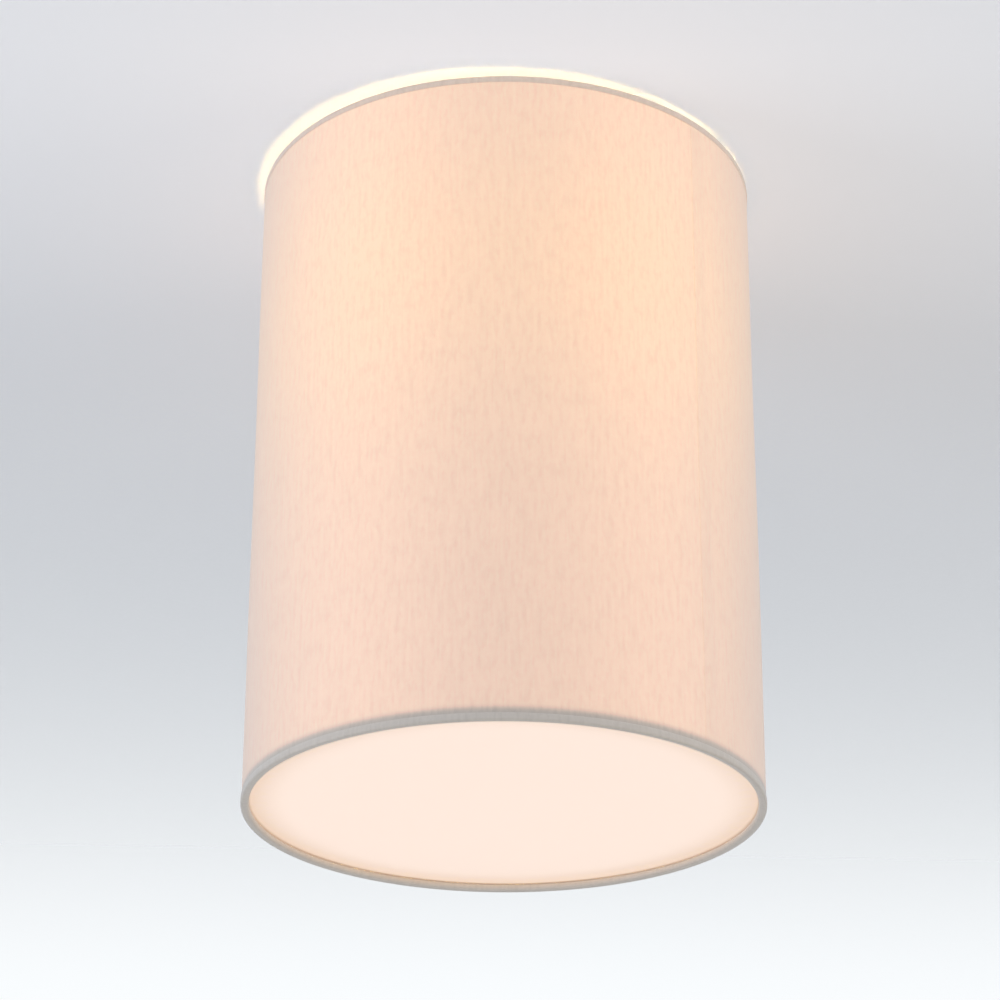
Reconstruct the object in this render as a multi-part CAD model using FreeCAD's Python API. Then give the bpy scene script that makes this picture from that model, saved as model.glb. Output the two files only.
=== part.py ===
import FreeCAD, Part
import math
import os
from FreeCAD import Vector

# A flush ceiling light: a tall drum shade of fabric on film, lit from inside, with a flat
# opal disc resting in its foot. Millimetres, +Z up. The origin is on the ceiling, on the
# axis of the drum, and the light hangs below it. Azimuth 0 faces -Y and grows towards +X.

# ---- clearances
rest_gap = 0.3  # between pieces that part when the light is opened
thread_fit = 0.05  # radial, around a screwed joint that stays done up
running_fit = 0.08  # radial, around the thread that the lower shade ring runs on
hole_fit = 0.25  # radial, around a screw in its clearance hole

# ---- drum shade
shade_diameter = 300.0  # over the fabric
shade_height = 400.0
ceiling_gap = 4.0  # from the ceiling to the top hem
fabric_thickness = 0.5
film_thickness = 0.4
seam_azimuth = 47.0
seam_overlap = 12.0  # width of the doubled fabric at the seam
tape_width = 20.0
tape_thickness = 0.2
glue_line = 0.05  # between the film and the tape
ring_wire = 3.0  # wire of the top and bottom rings
hem_thickness = 0.5
hem_height = 4.5  # of the hem's outer leg
hem_corner = 1.2
fold_slack = 0.3  # how far the wire stands off the fold
wire_gap = 0.1  # glue between film and wire

# ---- spider that carries the shade
hub_diameter = 60.0
hub_thickness = 2.0
arm_wire = 4.0
arm_count = 3
arm_azimuth = 180.0

# ---- opal disc
disc_thickness = 3.0
disc_play = 0.9  # radial, between disc and seam tape

# ---- ceiling bracket
bracket_length = 96.0
bracket_width = 22.0
bracket_thickness = 2.0
ear_height = 14.0
slot_spacing = 60.0
slot_width = 5.2
slot_length = 14.0
cable_hole_diameter = 10.0
cable_hole_x = 13.0
tab_width = 20.0
tab_reach = 38.0  # from the axis to the tab's end

# ---- canopy pan
canopy_height = 22.0
canopy_wall = 1.0
canopy_corner = 5.0
canopy_play = 0.8  # radial, from the bracket's corners to the pan
canopy_ceiling_gap = 0.5

# ---- canopy screws
canopy_screw_diameter = 4.0
canopy_screw_drop = 8.0  # from the ceiling to the screw's axis
canopy_screw_length = 7.0
canopy_head_diameter = 7.5
canopy_head_height = 2.4
driver_slot_width = 1.0
driver_slot_depth = 1.2

# ---- threaded nipple, nut and washer
nipple_diameter = 10.0
nipple_bore = 7.6
nipple_above_floor = 6.5
nut_flats = 14.0
nut_height = 3.0
washer_diameter = 17.0
washer_thickness = 0.8
washer_teeth = 12

# ---- lamp holder
cap_length = 26.0  # from the canopy to the foot of the cap
cap_neck_diameter = 17.0
cap_neck_length = 9.0
cap_diameter = 44.0
cap_wall = 2.0
cap_shoulder = 7.0  # height of the cone between neck and skirt
shell_thread_diameter = 39.4
shell_wall = 2.4
shell_engagement = 4.0  # length screwed up into the cap
shell_below_cap = 38.0
shell_thread_pitch = 4.5
shell_thread_depth = 0.6
shell_ledge = 4.0
insert_gap = 0.1  # radial, between insert and shell
insert_top_drop = 6.0  # from the foot of the cap up to the insert's top
insert_plate = 14.0
sleeve_inner_diameter = 27.2
sleeve_wall = 0.4
sleeve_length = 22.0
contact_strip_width = 6.0
contact_strip_thickness = 0.6
contact_post_diameter = 2.4
contact_post_radius = 8.0  # from the axis to each contact's post
terminal_side = 6.0
terminal_height = 5.0

# ---- shade rings on the holder
shade_ring_diameter = 54.0
upper_ring_height = 6.0
lower_ring_height = 7.0
grip_count = 24
grip_depth = 0.7
ring_travel = 18.0  # how far the lower ring unscrews

# ---- lamp
lamp_length = 110.0
globe_diameter = 60.0
globe_neck_diameter = 28.0
globe_neck_arc = 28.0
glass_wall = 1.0
lamp_thread_diameter = 26.2
lamp_thread_pitch = 3.629
lamp_thread_depth = 0.9
lamp_cap_length = 22.0
lamp_cap_wall = 0.5
button_diameter = 9.6
button_height = 1.6
lamp_insulator_height = 3.6
lamp_cap_shoulder_diameter = 21.0
lamp_travel = 22.0  # how far the lamp comes down as it unscrews
stem_diameter = 12.0
stem_length = 20.0
stem_rod_diameter = 3.6
stem_rod_length = 42.0
filament_count = 4
filament_diameter = 1.8
filament_length = 34.0
filament_circle_diameter = 18.0
filament_start = 44.0  # from the lamp's contact to the filaments' upper ends
support_wire = 0.8

# ---- wiring
lead_diameter = 2.0
block_length = 30.0
block_width = 15.0
block_height = 12.0
block_corner = 1.0
pole_pitch = 9.0
pole_count = 3
pole_tube_diameter = 5.4
pole_tube_bore = 3.2
pole_tube_recess = 1.0
pole_screw_diameter = 2.6
pole_screw_spacing = 7.0
pole_well_diameter = 3.6
block_screw_diameter = 2.6
block_screw_head = 3.8
earth_screw_diameter = 4.0
earth_screw_x = -14.0
earth_head_diameter = 7.5
earth_head_height = 2.6
lug_thickness = 0.8
lug_width = 8.0
lug_tail = 8.0
crimp_wall = 0.6

# ---- places that follow from the sizes
shade_radius = shade_diameter / 2
film_outer_radius = shade_radius - fabric_thickness
film_inner_radius = film_outer_radius - film_thickness
shade_top = -ceiling_gap
shade_foot = shade_top - shade_height
ring_radius = film_inner_radius - wire_gap - ring_wire / 2
fold_depth = hem_thickness + fold_slack + ring_wire / 2  # from a hem's edge to its wire
hem_inner_height = fold_depth + ring_wire / 2 + hem_thickness
crease = math.tan(math.radians(22.5))  # half a side of an octagon over its half width
tape_radius = film_inner_radius - glue_line
disc_radius = tape_radius - tape_thickness - disc_play
disc_foot = shade_foot + hem_inner_height + rest_gap

bracket_corner_radius = math.hypot(bracket_length / 2, bracket_width / 2)
canopy_inner_radius = bracket_corner_radius + canopy_play
canopy_radius = canopy_inner_radius + canopy_wall
canopy_foot = -canopy_height
canopy_floor = canopy_foot + canopy_wall

cap_foot = canopy_foot - cap_length
shell_radius = shell_thread_diameter / 2
shell_foot = cap_foot - shell_below_cap
insert_radius = shell_radius - shell_wall - insert_gap
insert_top = cap_foot + insert_top_drop
insert_plate_foot = insert_top - insert_plate
insert_foot = shell_foot + shell_ledge
sleeve_inner_radius = sleeve_inner_diameter / 2
sleeve_outer_radius = sleeve_inner_radius + sleeve_wall
sleeve_foot = insert_foot
nipple_top = canopy_floor + nipple_above_floor
nipple_foot = canopy_foot - cap_neck_length

upper_ring_top = cap_foot - rest_gap
upper_ring_foot = upper_ring_top - upper_ring_height
hub_top = upper_ring_foot - rest_gap
hub_foot = hub_top - hub_thickness
lower_ring_top = hub_foot - rest_gap
lower_ring_foot = lower_ring_top - lower_ring_height
hub_bore_radius = shell_radius + 2 * rest_gap

contact_foot = insert_plate_foot - 3 * contact_strip_thickness
lamp_top = contact_foot - rest_gap
lamp_foot = lamp_top - lamp_length
globe_centre = lamp_foot + globe_diameter / 2
lamp_cap_top = lamp_top - button_height - lamp_insulator_height
lamp_cap_foot = lamp_cap_top - lamp_cap_length

block_top = -bracket_thickness
block_foot = block_top - block_height
block_centre_y = tab_reach - block_width / 2 - 1.0
pole_axis = block_top - block_height / 2
block_screw_x = pole_pitch / 2


def box(x_low, x_high, y_low, y_high, z_low, z_high):
    corner = Vector(x_low, y_low, z_low)
    return Part.makeBox(x_high - x_low, y_high - y_low, z_high - z_low, corner)


def disc(radius, z_low, z_high, x=0.0, y=0.0):
    return Part.makeCylinder(radius, z_high - z_low, Vector(x, y, z_low))


def tube(outer_radius, inner_radius, z_low, z_high):
    return disc(outer_radius, z_low, z_high).cut(disc(inner_radius, z_low, z_high))


def rod(start, end, diameter):
    along = end - start
    return Part.makeCylinder(diameter / 2, along.Length, start, along)


def turned(steps):
    """A solid of revolution about Z. A step is (r, z) for a straight run to that point, or
    (mid r, mid z, end r, end z) for an arc through the middle point to the end point."""
    edges = []
    here = Vector(steps[0][0], 0, steps[0][1])
    for step in steps[1:] + steps[:1]:
        end = Vector(step[-2], 0, step[-1])
        if len(step) == 4:
            edges.append(Part.Arc(here, Vector(step[0], 0, step[1]), end).toShape())
        elif (end - here).Length > 1e-6:
            edges.append(Part.LineSegment(here, end).toShape())
        here = end
    face = Part.Face(Part.Wire(edges))
    return face.revolve(Vector(0, 0, 0), Vector(0, 0, 1), 360)


def arc_step(centre_r, centre_z, radius, start_angle, end_angle):
    """The step of turned() for an arc given by its centre and its angles in degrees."""
    middle = math.radians((start_angle + end_angle) / 2)
    end = math.radians(end_angle)
    return (
        centre_r + radius * math.cos(middle),
        centre_z + radius * math.sin(middle),
        centre_r + radius * math.cos(end),
        centre_z + radius * math.sin(end),
    )


def ring(wire_diameter, radius, z):
    return Part.makeTorus(radius, wire_diameter / 2, Vector(0, 0, z))


def ridged_rod(radius, z_low, z_high, pitch, depth):
    """A rod with one ring groove for each turn of its thread."""
    count = int((z_high - z_low) / pitch)
    start = z_high - (z_high - z_low - count * pitch) / 2
    steps = [(0, z_high), (radius, z_high), (radius, start)]
    for turn in range(count):
        top = start - turn * pitch
        steps.append((radius, top - pitch * 0.25))
        steps.append((radius - depth, top - pitch * 0.5))
        steps.append((radius, top - pitch * 0.75))
        steps.append((radius, top - pitch))
    steps += [(radius, z_low), (0, z_low)]
    return turned(without_repeats(steps))


def without_repeats(steps):
    kept = [steps[0]]
    for step in steps[1:]:
        if math.dist(step, kept[-1]) > 1e-6:
            kept.append(step)
    return kept


def hexagon(flats, z_low, z_high):
    corner_radius = flats / math.sqrt(3)
    corners = []
    for side in range(7):
        angle = math.radians(60 * side)
        corners.append(Vector(corner_radius * math.cos(angle), corner_radius * math.sin(angle), z_low))
    return Part.Face(Part.makePolygon(corners)).extrude(Vector(0, 0, z_high - z_low))


def wedge(radius, azimuth_low, azimuth_high, z_low, z_high):
    """A slice of a full cylinder, between two azimuths."""
    slice_ = Part.makeCylinder(
        radius, z_high - z_low, Vector(0, 0, z_low), Vector(0, 0, 1), azimuth_high - azimuth_low
    )
    return turned_about_axis(slice_, azimuth_low - 90)


def turned_about_axis(shape, degrees):
    moved = shape.copy()
    moved.rotate(Vector(0, 0, 0), Vector(0, 0, 1), degrees)
    return moved


def around(shape, count):
    """Copies of a shape at equal angles about Z."""
    return [turned_about_axis(shape, 360 * number / count) for number in range(count)]


def bent_tube(name, points, diameter):
    """A round tube along straight runs joined by tangent arcs."""
    points = [Vector(*point) for point in points]
    edges = []
    radii = []
    here = points[0]
    for before, corner, after in zip(points, points[1:], points[2:]):
        into = corner - before
        out = after - corner
        half_turn = into.getAngle(out) / 2
        radius = 0.45 * min(into.Length, out.Length) / math.tan(half_turn)
        cut_back = radius * math.tan(half_turn)
        into.normalize()
        out.normalize()
        start = corner - into * cut_back
        end = corner + out * cut_back
        inward = out - into
        inward.normalize()
        middle = corner + inward * (radius / math.cos(half_turn) - radius)
        edges.append(Part.LineSegment(here, start).toShape())
        edges.append(Part.Arc(start, middle, end).toShape())
        radii.append(round(radius, 1))
        here = end
    edges.append(Part.LineSegment(here, points[-1]).toShape())
    path = Part.Wire(edges)
    section = Part.Wire(Part.makeCircle(diameter / 2, points[0], points[1] - points[0]))
    solid = path.makePipeShell([section], True, False)
    expected = math.pi * diameter**2 / 4 * path.Length
    print(name, "radii", radii, "length", round(path.Length, 1))
    print(name, "volume over section times length", round(solid.Volume / expected, 4))
    return solid


def save(name, shape):
    if not shape.isValid():
        print("not valid:", name)
    print(name, "solids", len(shape.Solids), "volume", round(shape.Volume, 1))
    shape.exportStep(f"parts/{name}.step")


# ---------------------------------------------------------------- ceiling bracket
def ceiling_bracket():
    half_length = bracket_length / 2 - bracket_thickness
    half_width = bracket_width / 2
    plate = box(-half_length, half_length, -half_width, half_width, -bracket_thickness, 0)
    tab = box(-tab_width / 2, tab_width / 2, 0, tab_reach, -bracket_thickness, 0)
    bracket = plate.fuse(tab).removeSplitter()
    cuts = [plate_hole(cable_hole_diameter / 2, cable_hole_x, 0)]
    cuts.append(plate_hole(block_screw_diameter / 2 + thread_fit, block_screw_x, block_centre_y))
    cuts.append(plate_hole(earth_screw_diameter / 2 + thread_fit, earth_screw_x, 0))
    for side in (-1, 1):
        cuts.append(slot(side * slot_spacing / 2))
    return bracket.cut(Part.makeCompound(cuts))


# the ears are welded to the plate's two ends
def bracket_ears():
    outer = bracket_length / 2
    half_width = bracket_width / 2
    ear = box(outer - bracket_thickness, outer, -half_width, half_width, -ear_height, 0)
    ear = ear.cut(canopy_screw_hole(canopy_screw_diameter / 2 + thread_fit, bracket_length))
    return Part.makeCompound(around(ear, 2))


def plate_hole(radius, x, y):
    return disc(radius, -bracket_thickness, 0, x, y)


def slot(x):
    reach = (slot_length - slot_width) / 2
    ends = [plate_hole(slot_width / 2, x + side * reach, 0) for side in (-1, 1)]
    middle = box(x - reach, x + reach, -slot_width / 2, slot_width / 2, -bracket_thickness, 0)
    return middle.fuse(ends).removeSplitter()


def canopy_screw_hole(radius, length):
    start = Vector(-length, 0, -canopy_screw_drop)
    return rod(start, Vector(length, 0, -canopy_screw_drop), 2 * radius)


# ---------------------------------------------------------------- canopy
def canopy_pan():
    top = -canopy_ceiling_gap
    bend_top = canopy_foot + canopy_corner
    outer_corner = arc_step(canopy_radius - canopy_corner, bend_top, canopy_corner, 0, -90)
    inner_bend = canopy_corner - canopy_wall
    inner_corner = arc_step(canopy_inner_radius - inner_bend, bend_top, inner_bend, -90, 0)
    pan = turned([
        (canopy_radius, top),
        (canopy_radius, bend_top),
        outer_corner,
        (nipple_diameter / 2 + hole_fit, canopy_foot),
        (nipple_diameter / 2 + hole_fit, canopy_floor),
        (canopy_inner_radius - inner_bend, canopy_floor),
        inner_corner,
        (canopy_inner_radius, top),
    ])
    return pan.cut(canopy_screw_hole(canopy_screw_diameter / 2 + hole_fit, 2 * canopy_radius))


def canopy_screws():
    head_face = canopy_radius + rest_gap / 3
    screw = rod(
        Vector(head_face + canopy_wall - canopy_screw_length, 0, -canopy_screw_drop),
        Vector(head_face, 0, -canopy_screw_drop),
        canopy_screw_diameter,
    )
    head_end = Vector(head_face + canopy_head_height, 0, -canopy_screw_drop)
    head = rod(Vector(head_face, 0, -canopy_screw_drop), head_end, canopy_head_diameter)
    head = head.makeFillet(canopy_head_height / 2, [edge_at_x(head, head_end.x)])
    groove = box(
        head_end.x - driver_slot_depth,
        head_end.x + 1,
        -canopy_head_diameter,
        canopy_head_diameter,
        -canopy_screw_drop - driver_slot_width / 2,
        -canopy_screw_drop + driver_slot_width / 2,
    )
    screw = screw.fuse(head).cut(groove).removeSplitter()
    return Part.makeCompound(around(screw, 2))


def edge_at_x(shape, x):
    for edge in shape.Edges:
        if abs(edge.CenterOfMass.x - x) < 1e-3:
            return edge
    raise ValueError("no edge there")


# ---------------------------------------------------------------- nipple
def threaded_nipple():
    thread = ridged_rod(nipple_diameter / 2, nipple_foot, nipple_top, 1.5, 0.4)
    return thread.cut(disc(nipple_bore / 2, nipple_foot, nipple_top))


def nipple_washer():
    foot = canopy_floor
    washer = tube(washer_diameter / 2, nipple_diameter / 2 + hole_fit, foot, foot + washer_thickness)
    notch = box(washer_diameter / 2 - 1.5, washer_diameter, -0.8, 0.8, foot, foot + washer_thickness)
    return washer.cut(Part.makeCompound(around(notch, washer_teeth)))


def nipple_nut():
    foot = canopy_floor + washer_thickness
    nut = hexagon(nut_flats, foot, foot + nut_height)
    return nut.cut(disc(nipple_diameter / 2 + thread_fit, foot, foot + nut_height))


# ---------------------------------------------------------------- lamp holder
def holder_cap():
    neck_foot = canopy_foot - cap_neck_length
    skirt_top = neck_foot - cap_shoulder
    skirt_radius = cap_diameter / 2
    neck_radius = cap_neck_diameter / 2
    bore = nipple_diameter / 2 + thread_fit
    return turned([
        (bore, canopy_foot),
        (neck_radius, canopy_foot),
        (neck_radius, neck_foot),
        (skirt_radius, skirt_top),
        (skirt_radius, cap_foot),
        (shell_radius + thread_fit, cap_foot),
        (shell_radius + thread_fit, skirt_top - cap_wall / 2),
        (neck_radius - cap_wall / 2, neck_foot - cap_wall),
        (bore, neck_foot - cap_wall),
    ])


def holder_shell():
    top = cap_foot + shell_engagement
    thread = ridged_rod(shell_radius, shell_foot, top, shell_thread_pitch, shell_thread_depth)
    hollow = disc(shell_radius - shell_wall, insert_foot, top)
    mouth = disc(sleeve_outer_radius + rest_gap, shell_foot, insert_foot)
    return thread.cut(hollow).cut(mouth)


def holder_insert():
    body = disc(insert_radius, insert_foot, insert_top)
    body = body.cut(disc(sleeve_outer_radius + thread_fit, insert_foot, insert_plate_foot))
    cuts = []
    for side in (-1, 1):
        cuts.append(terminal_box(side, insert_gap))
        cuts.append(contact_post(side, thread_fit))
    return body.cut(Part.makeCompound(cuts))


def terminal_box(side, growth):
    half = terminal_side / 2 + growth
    middle = side * (contact_post_radius)
    foot = insert_top - terminal_height - growth
    return box(middle - half, middle + half, -half, half, foot, insert_top)


def contact_post(side, growth):
    top = insert_top - terminal_height - growth
    return disc(contact_post_diameter / 2 + growth, insert_plate_foot, top, side * contact_post_radius)


def holder_terminals():
    blocks = []
    for side in (-1, 1):
        radius = lead_diameter / 2 + thread_fit
        bore = disc(radius, insert_top - terminal_height / 2, insert_top, side * contact_post_radius)
        blocks.append(terminal_box(side, 0).cut(bore))
    return Part.makeCompound(blocks)


def centre_contact():
    """A post below the live terminal and a tongue that steps down to the middle."""
    post = contact_post(1, 0)
    half = contact_strip_width / 2
    strip_foot = insert_plate_foot - contact_strip_thickness
    strip = box(0, contact_post_radius + half, -half, half, strip_foot, insert_plate_foot)
    pad = box(-half, half / 2, -half, half, contact_foot, insert_plate_foot - contact_strip_thickness)
    return post.fuse([strip, pad]).removeSplitter()


def side_contact():
    """A post below the neutral terminal and a strip out to the screw sleeve."""
    post = contact_post(-1, 0)
    half = contact_strip_width / 2
    inner_end = -contact_post_radius + half
    strip_foot = insert_plate_foot - contact_strip_thickness
    strip = box(-sleeve_inner_radius, inner_end, -half, half, strip_foot, insert_plate_foot)
    return post.fuse(strip).removeSplitter().common(disc(sleeve_outer_radius, contact_foot, insert_top))


def thread_sleeve():
    top = sleeve_foot + sleeve_length
    wall = tube(sleeve_outer_radius, sleeve_inner_radius, sleeve_foot, top)
    return wall


# ---------------------------------------------------------------- shade rings
def shade_ring(foot, height):
    """A clamping ring with a gripped rim and an inside thread that runs on the shell."""
    outer = shade_ring_diameter / 2
    ring_body = tube(outer, shell_radius + running_fit, foot, foot + height)
    groove = disc(grip_depth, foot, foot + height, outer)
    return ring_body.cut(Part.makeCompound(around(groove, grip_count)))


# ---------------------------------------------------------------- spider and rings
def top_ring_wire():
    return ring(ring_wire, ring_radius, shade_top - fold_depth)


def bottom_ring_wire():
    return ring(ring_wire, ring_radius, shade_foot + fold_depth)


def spider_hub():
    return tube(hub_diameter / 2, hub_bore_radius, hub_foot, hub_top)


def spider_arm(diameter):
    """One straight arm, from the hub's rim up to the middle of the top ring's wire."""
    hub_middle = (hub_foot + hub_top) / 2
    start = Vector(hub_diameter / 2 - arm_wire / 2, 0, hub_middle - arm_wire / 4)
    end = Vector(ring_radius, 0, shade_top - fold_depth)
    return rod(start, end, diameter)


def spider_arms():
    """The arms are welded on: they stop on the faces of the hub and of the ring."""
    arm = spider_arm(arm_wire).cut(disc(hub_diameter / 2, hub_foot, hub_top))
    arm = arm.cut(disc(hub_diameter / 2 + 0.01, hub_foot - arm_wire, hub_top + arm_wire))
    arm = arm.cut(top_ring_wire())
    arm = arm.common(disc(ring_radius, hub_foot - arm_wire, 0))
    arm = largest_solid(arm)
    return Part.makeCompound(around(turned_about_axis(arm, arm_azimuth - 90), arm_count))


def largest_solid(shape):
    return max(shape.Solids, key=lambda solid: solid.Volume)


# ---------------------------------------------------------------- shade cover
def laminate(outer_radius, inner_radius):
    return tube(outer_radius, inner_radius, shade_foot + hem_thickness, shade_top - hem_thickness)


def fabric_skin():
    """The fabric, with the doubled strip where its ends lap over each other."""
    skin = laminate(shade_radius, film_outer_radius)
    half_angle = math.degrees(seam_overlap / 2 / shade_radius)
    low = shade_foot + hem_height
    high = shade_top - hem_height
    lap_radius = shade_radius + fabric_thickness
    lap = wedge(lap_radius, seam_azimuth - half_angle, seam_azimuth + half_angle, low, high)
    lap = lap.cut(disc(shade_radius - fabric_thickness / 2, low, high))
    return skin.fuse(lap)


def film_liner():
    return laminate(film_outer_radius, film_inner_radius)


def seam_tape():
    half_angle = math.degrees(tape_width / 2 / tape_radius)
    low = shade_foot + hem_inner_height
    high = shade_top - hem_inner_height
    tape = wedge(tape_radius, seam_azimuth - half_angle, seam_azimuth + half_angle, low, high)
    return tape.cut(disc(tape_radius - tape_thickness, low, high))


def bottom_hem():
    """Fabric folded round the foot of the laminate, and over the wire inside it with creases
    where a rolled hem is round, so that it is an eight-sided channel open to the film."""
    outer = shade_radius + hem_thickness
    foot = shade_foot
    centre = foot + fold_depth
    wire = ring_wire / 2
    roll = wire + hem_thickness
    return turned(
        [
            (outer, foot + hem_height),
            (outer, foot + hem_corner),
            (outer - hem_corner, foot),
            (ring_radius - roll * crease, foot),
            (ring_radius - roll, centre - roll * crease),
            (ring_radius - roll, centre + roll * crease),
            (ring_radius - roll * crease, centre + roll),
            (film_inner_radius, centre + roll),
            (film_inner_radius, centre + wire),
            (ring_radius - wire * crease, centre + wire),
            (ring_radius - wire, centre + wire * crease),
            (ring_radius - wire, centre - wire * crease),
            (ring_radius - wire * crease, centre - wire),
            (film_inner_radius, centre - wire),
            (film_inner_radius, foot + hem_thickness),
            (shade_radius, foot + hem_thickness),
            (shade_radius, foot + hem_height),
        ]
    )


def top_hem():
    """The same fold at the top, with a notch for each arm of the spider."""
    hem = bottom_hem().mirror(Vector(0, 0, (shade_top + shade_foot) / 2), Vector(0, 0, 1))
    notch = turned_about_axis(spider_arm(arm_wire + 2 * thread_fit), arm_azimuth - 90)
    notch = notch.cut(disc(ring_radius + ring_wire, shade_foot, hub_top))
    return largest_solid(hem.cut(Part.makeCompound(around(notch, arm_count))))


def diffuser_disc():
    plate = disc(disc_radius, disc_foot, disc_foot + disc_thickness)
    rims = [edge for edge in plate.Edges if isinstance(edge.Curve, Part.Circle)]
    return plate.makeFillet(disc_thickness / 6, rims)


# ---------------------------------------------------------------- lamp
def bulb_button():
    """The contact button at the lamp's tip, a disc with a well rounded upper edge."""
    button = disc(button_diameter / 2, lamp_top - button_height, lamp_top)
    rim = [edge for edge in button.Edges if abs(edge.CenterOfMass.z - lamp_top) < 1e-6]
    return button.makeFillet(button_height * 0.7, rim)


def bulb_insulator():
    top = lamp_top - button_height
    return turned([
        (0, top),
        (button_diameter / 2, top),
        (lamp_cap_shoulder_diameter / 2, lamp_cap_top),
        (0, lamp_cap_top),
    ])


def bulb_cap_shell():
    """The lamp's screw cap: a ridged cup with a sloping shoulder at its top."""
    radius = lamp_thread_diameter / 2
    shoulder = lamp_cap_top - 2.0
    thread = ridged_rod(radius, lamp_cap_foot, shoulder, lamp_thread_pitch, lamp_thread_depth)
    cone = turned([
        (0, lamp_cap_top),
        (lamp_cap_shoulder_diameter / 2, lamp_cap_top),
        (radius, shoulder),
        (0, shoulder),
    ])
    inside = radius - lamp_thread_depth - lamp_cap_wall
    hollow = disc(inside, lamp_cap_foot, shoulder - lamp_cap_wall)
    return thread.fuse(cone).removeSplitter().cut(hollow)


def globe_outline(inset):
    """Points of the globe's outline from its neck to its foot, drawn in by the inset."""
    neck = globe_neck_diameter / 2
    radius = globe_diameter / 2
    arc_r = neck + globe_neck_arc
    drop = math.sqrt((radius + globe_neck_arc) ** 2 - arc_r**2)
    arc_z = globe_centre + drop
    meeting_angle = math.degrees(math.atan2(drop, arc_r))
    neck_arc = arc_step(arc_r, arc_z, globe_neck_arc + inset, 180, 180 + meeting_angle)
    bowl = arc_step(0, globe_centre, radius - inset, meeting_angle, -90)
    return [(neck - inset, arc_z), neck_arc, bowl]


def bulb_globe():
    """A blown globe with an even wall, open where it is cemented on the screw cap."""
    seat = lamp_cap_foot
    plug_radius = lamp_thread_diameter / 2 - lamp_thread_depth - lamp_cap_wall - thread_fit
    plug_top = lamp_cap_foot + 8.0
    outer = globe_outline(0)
    inner = globe_outline(glass_wall)
    plug = [(0, plug_top), (plug_radius, plug_top), (plug_radius, seat)]
    full = turned(plug + [(globe_neck_diameter / 2, seat)] + outer)
    bore = plug_radius - glass_wall
    hollow = turned([(0, plug_top), (bore, plug_top), (bore, seat - 1.0), (inner[0][0], seat - 2.0)] + inner)
    return full.cut(hollow)


def bulb_stem():
    """The glass stem that seals the lamp, with the rod that carries the filaments."""
    bore = lamp_thread_diameter / 2 - lamp_thread_depth - lamp_cap_wall - thread_fit - glass_wall
    top = lamp_cap_foot + 4.0
    flare = turned([
        (0, top),
        (bore - thread_fit, top),
        (bore - thread_fit, top - 1.2),
        (stem_diameter / 2, top - 4.0),
        (stem_diameter / 2, top - stem_length),
        (0, top - stem_length),
    ])
    rod_foot = top - stem_length - stem_rod_length
    return flare.fuse(disc(stem_rod_diameter / 2, rod_foot, top - stem_length)).removeSplitter()


def filament_ends():
    start = lamp_top - filament_start
    upper = Vector(filament_circle_diameter / 2, 0, start)
    lower = Vector(filament_circle_diameter / 4, 0, start - filament_length)
    return upper, lower


def led_filaments():
    upper, lower = filament_ends()
    return Part.makeCompound(around(rod(upper, lower, filament_diameter), filament_count))


def filament_supports():
    """Wires from the stem to the filaments' upper ends, and from the rod to the lower ones."""
    upper, lower = filament_ends()
    core = disc(stem_diameter / 2, upper.z - 2, lamp_cap_top)
    core = core.fuse(disc(stem_rod_diameter / 2, lamp_foot, lamp_cap_top))
    wires = []
    for end, lift in ((upper, 0.5), (lower, -0.5)):
        wire = rod(Vector(0, 0, end.z + lift), Vector(end.x, 0, end.z + lift), support_wire)
        wire = largest_solid(wire.cut(core).cut(rod(upper, lower, filament_diameter)))
        wires += around(wire, filament_count)
    return Part.makeCompound(wires)


# ---------------------------------------------------------------- wiring
def pole_places():
    return [(number - (pole_count - 1) / 2) * pole_pitch for number in range(pole_count)]


def terminal_block():
    half_length = block_length / 2
    low_y = block_centre_y - block_width / 2
    high_y = block_centre_y + block_width / 2
    body = box(-half_length, half_length, low_y, high_y, block_foot, block_top)
    uprights = [edge for edge in body.Edges if abs(edge.tangentAt(edge.FirstParameter).z) > 0.9]
    body = body.makeFillet(block_corner, uprights)
    cuts = []
    for x in pole_places():
        cuts.append(pole_rod(x, pole_tube_diameter + 2 * thread_fit, block_width))
        for y in screw_places():
            cuts.append(disc(pole_well_diameter / 2, block_foot, pole_axis, x, y))
    hole = block_screw_diameter / 2 + hole_fit
    cuts.append(disc(hole, block_foot, block_top, block_screw_x, block_centre_y))
    return body.cut(Part.makeCompound(cuts))


def pole_rod(x, diameter, length):
    start = Vector(x, block_centre_y - length / 2, pole_axis)
    return rod(start, start + Vector(0, length, 0), diameter)


def screw_places():
    return [block_centre_y - pole_screw_spacing / 2, block_centre_y + pole_screw_spacing / 2]


def terminal_tubes():
    length = block_width - 2 * pole_tube_recess
    tubes = []
    for x in pole_places():
        pole = pole_rod(x, pole_tube_diameter, length).cut(pole_rod(x, pole_tube_bore, length))
        for y in screw_places():
            pole = pole.cut(disc(pole_screw_diameter / 2 + thread_fit, block_foot, pole_axis, x, y))
        tubes.append(pole)
    return Part.makeCompound(tubes)


def terminal_screws():
    """Six small screws, each stopped on the wire or short of the tube's far wall."""
    screws = []
    tip = pole_axis - lead_diameter / 2
    for x in pole_places():
        for y in screw_places():
            screws.append(slotted_screw(x, y, tip, block_foot + 1.0, pole_screw_diameter, 0, 0))
    return Part.makeCompound(screws)


def slotted_screw(x, y, tip, seat, shank_diameter, head_diameter, head_height):
    """A screw pointing up, with its head below its seat, or a plain grub screw."""
    foot = seat - head_height
    screw = disc(shank_diameter / 2, seat, tip, x, y)
    width = shank_diameter
    if head_height > 0:
        screw = screw.fuse(disc(head_diameter / 2, foot, seat, x, y)).removeSplitter()
        width = head_diameter
    depth = driver_slot_depth * 0.7
    groove = box(x - width, x + width, y - 0.35, y + 0.35, foot - 1, foot + depth)
    return screw.cut(groove)


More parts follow.
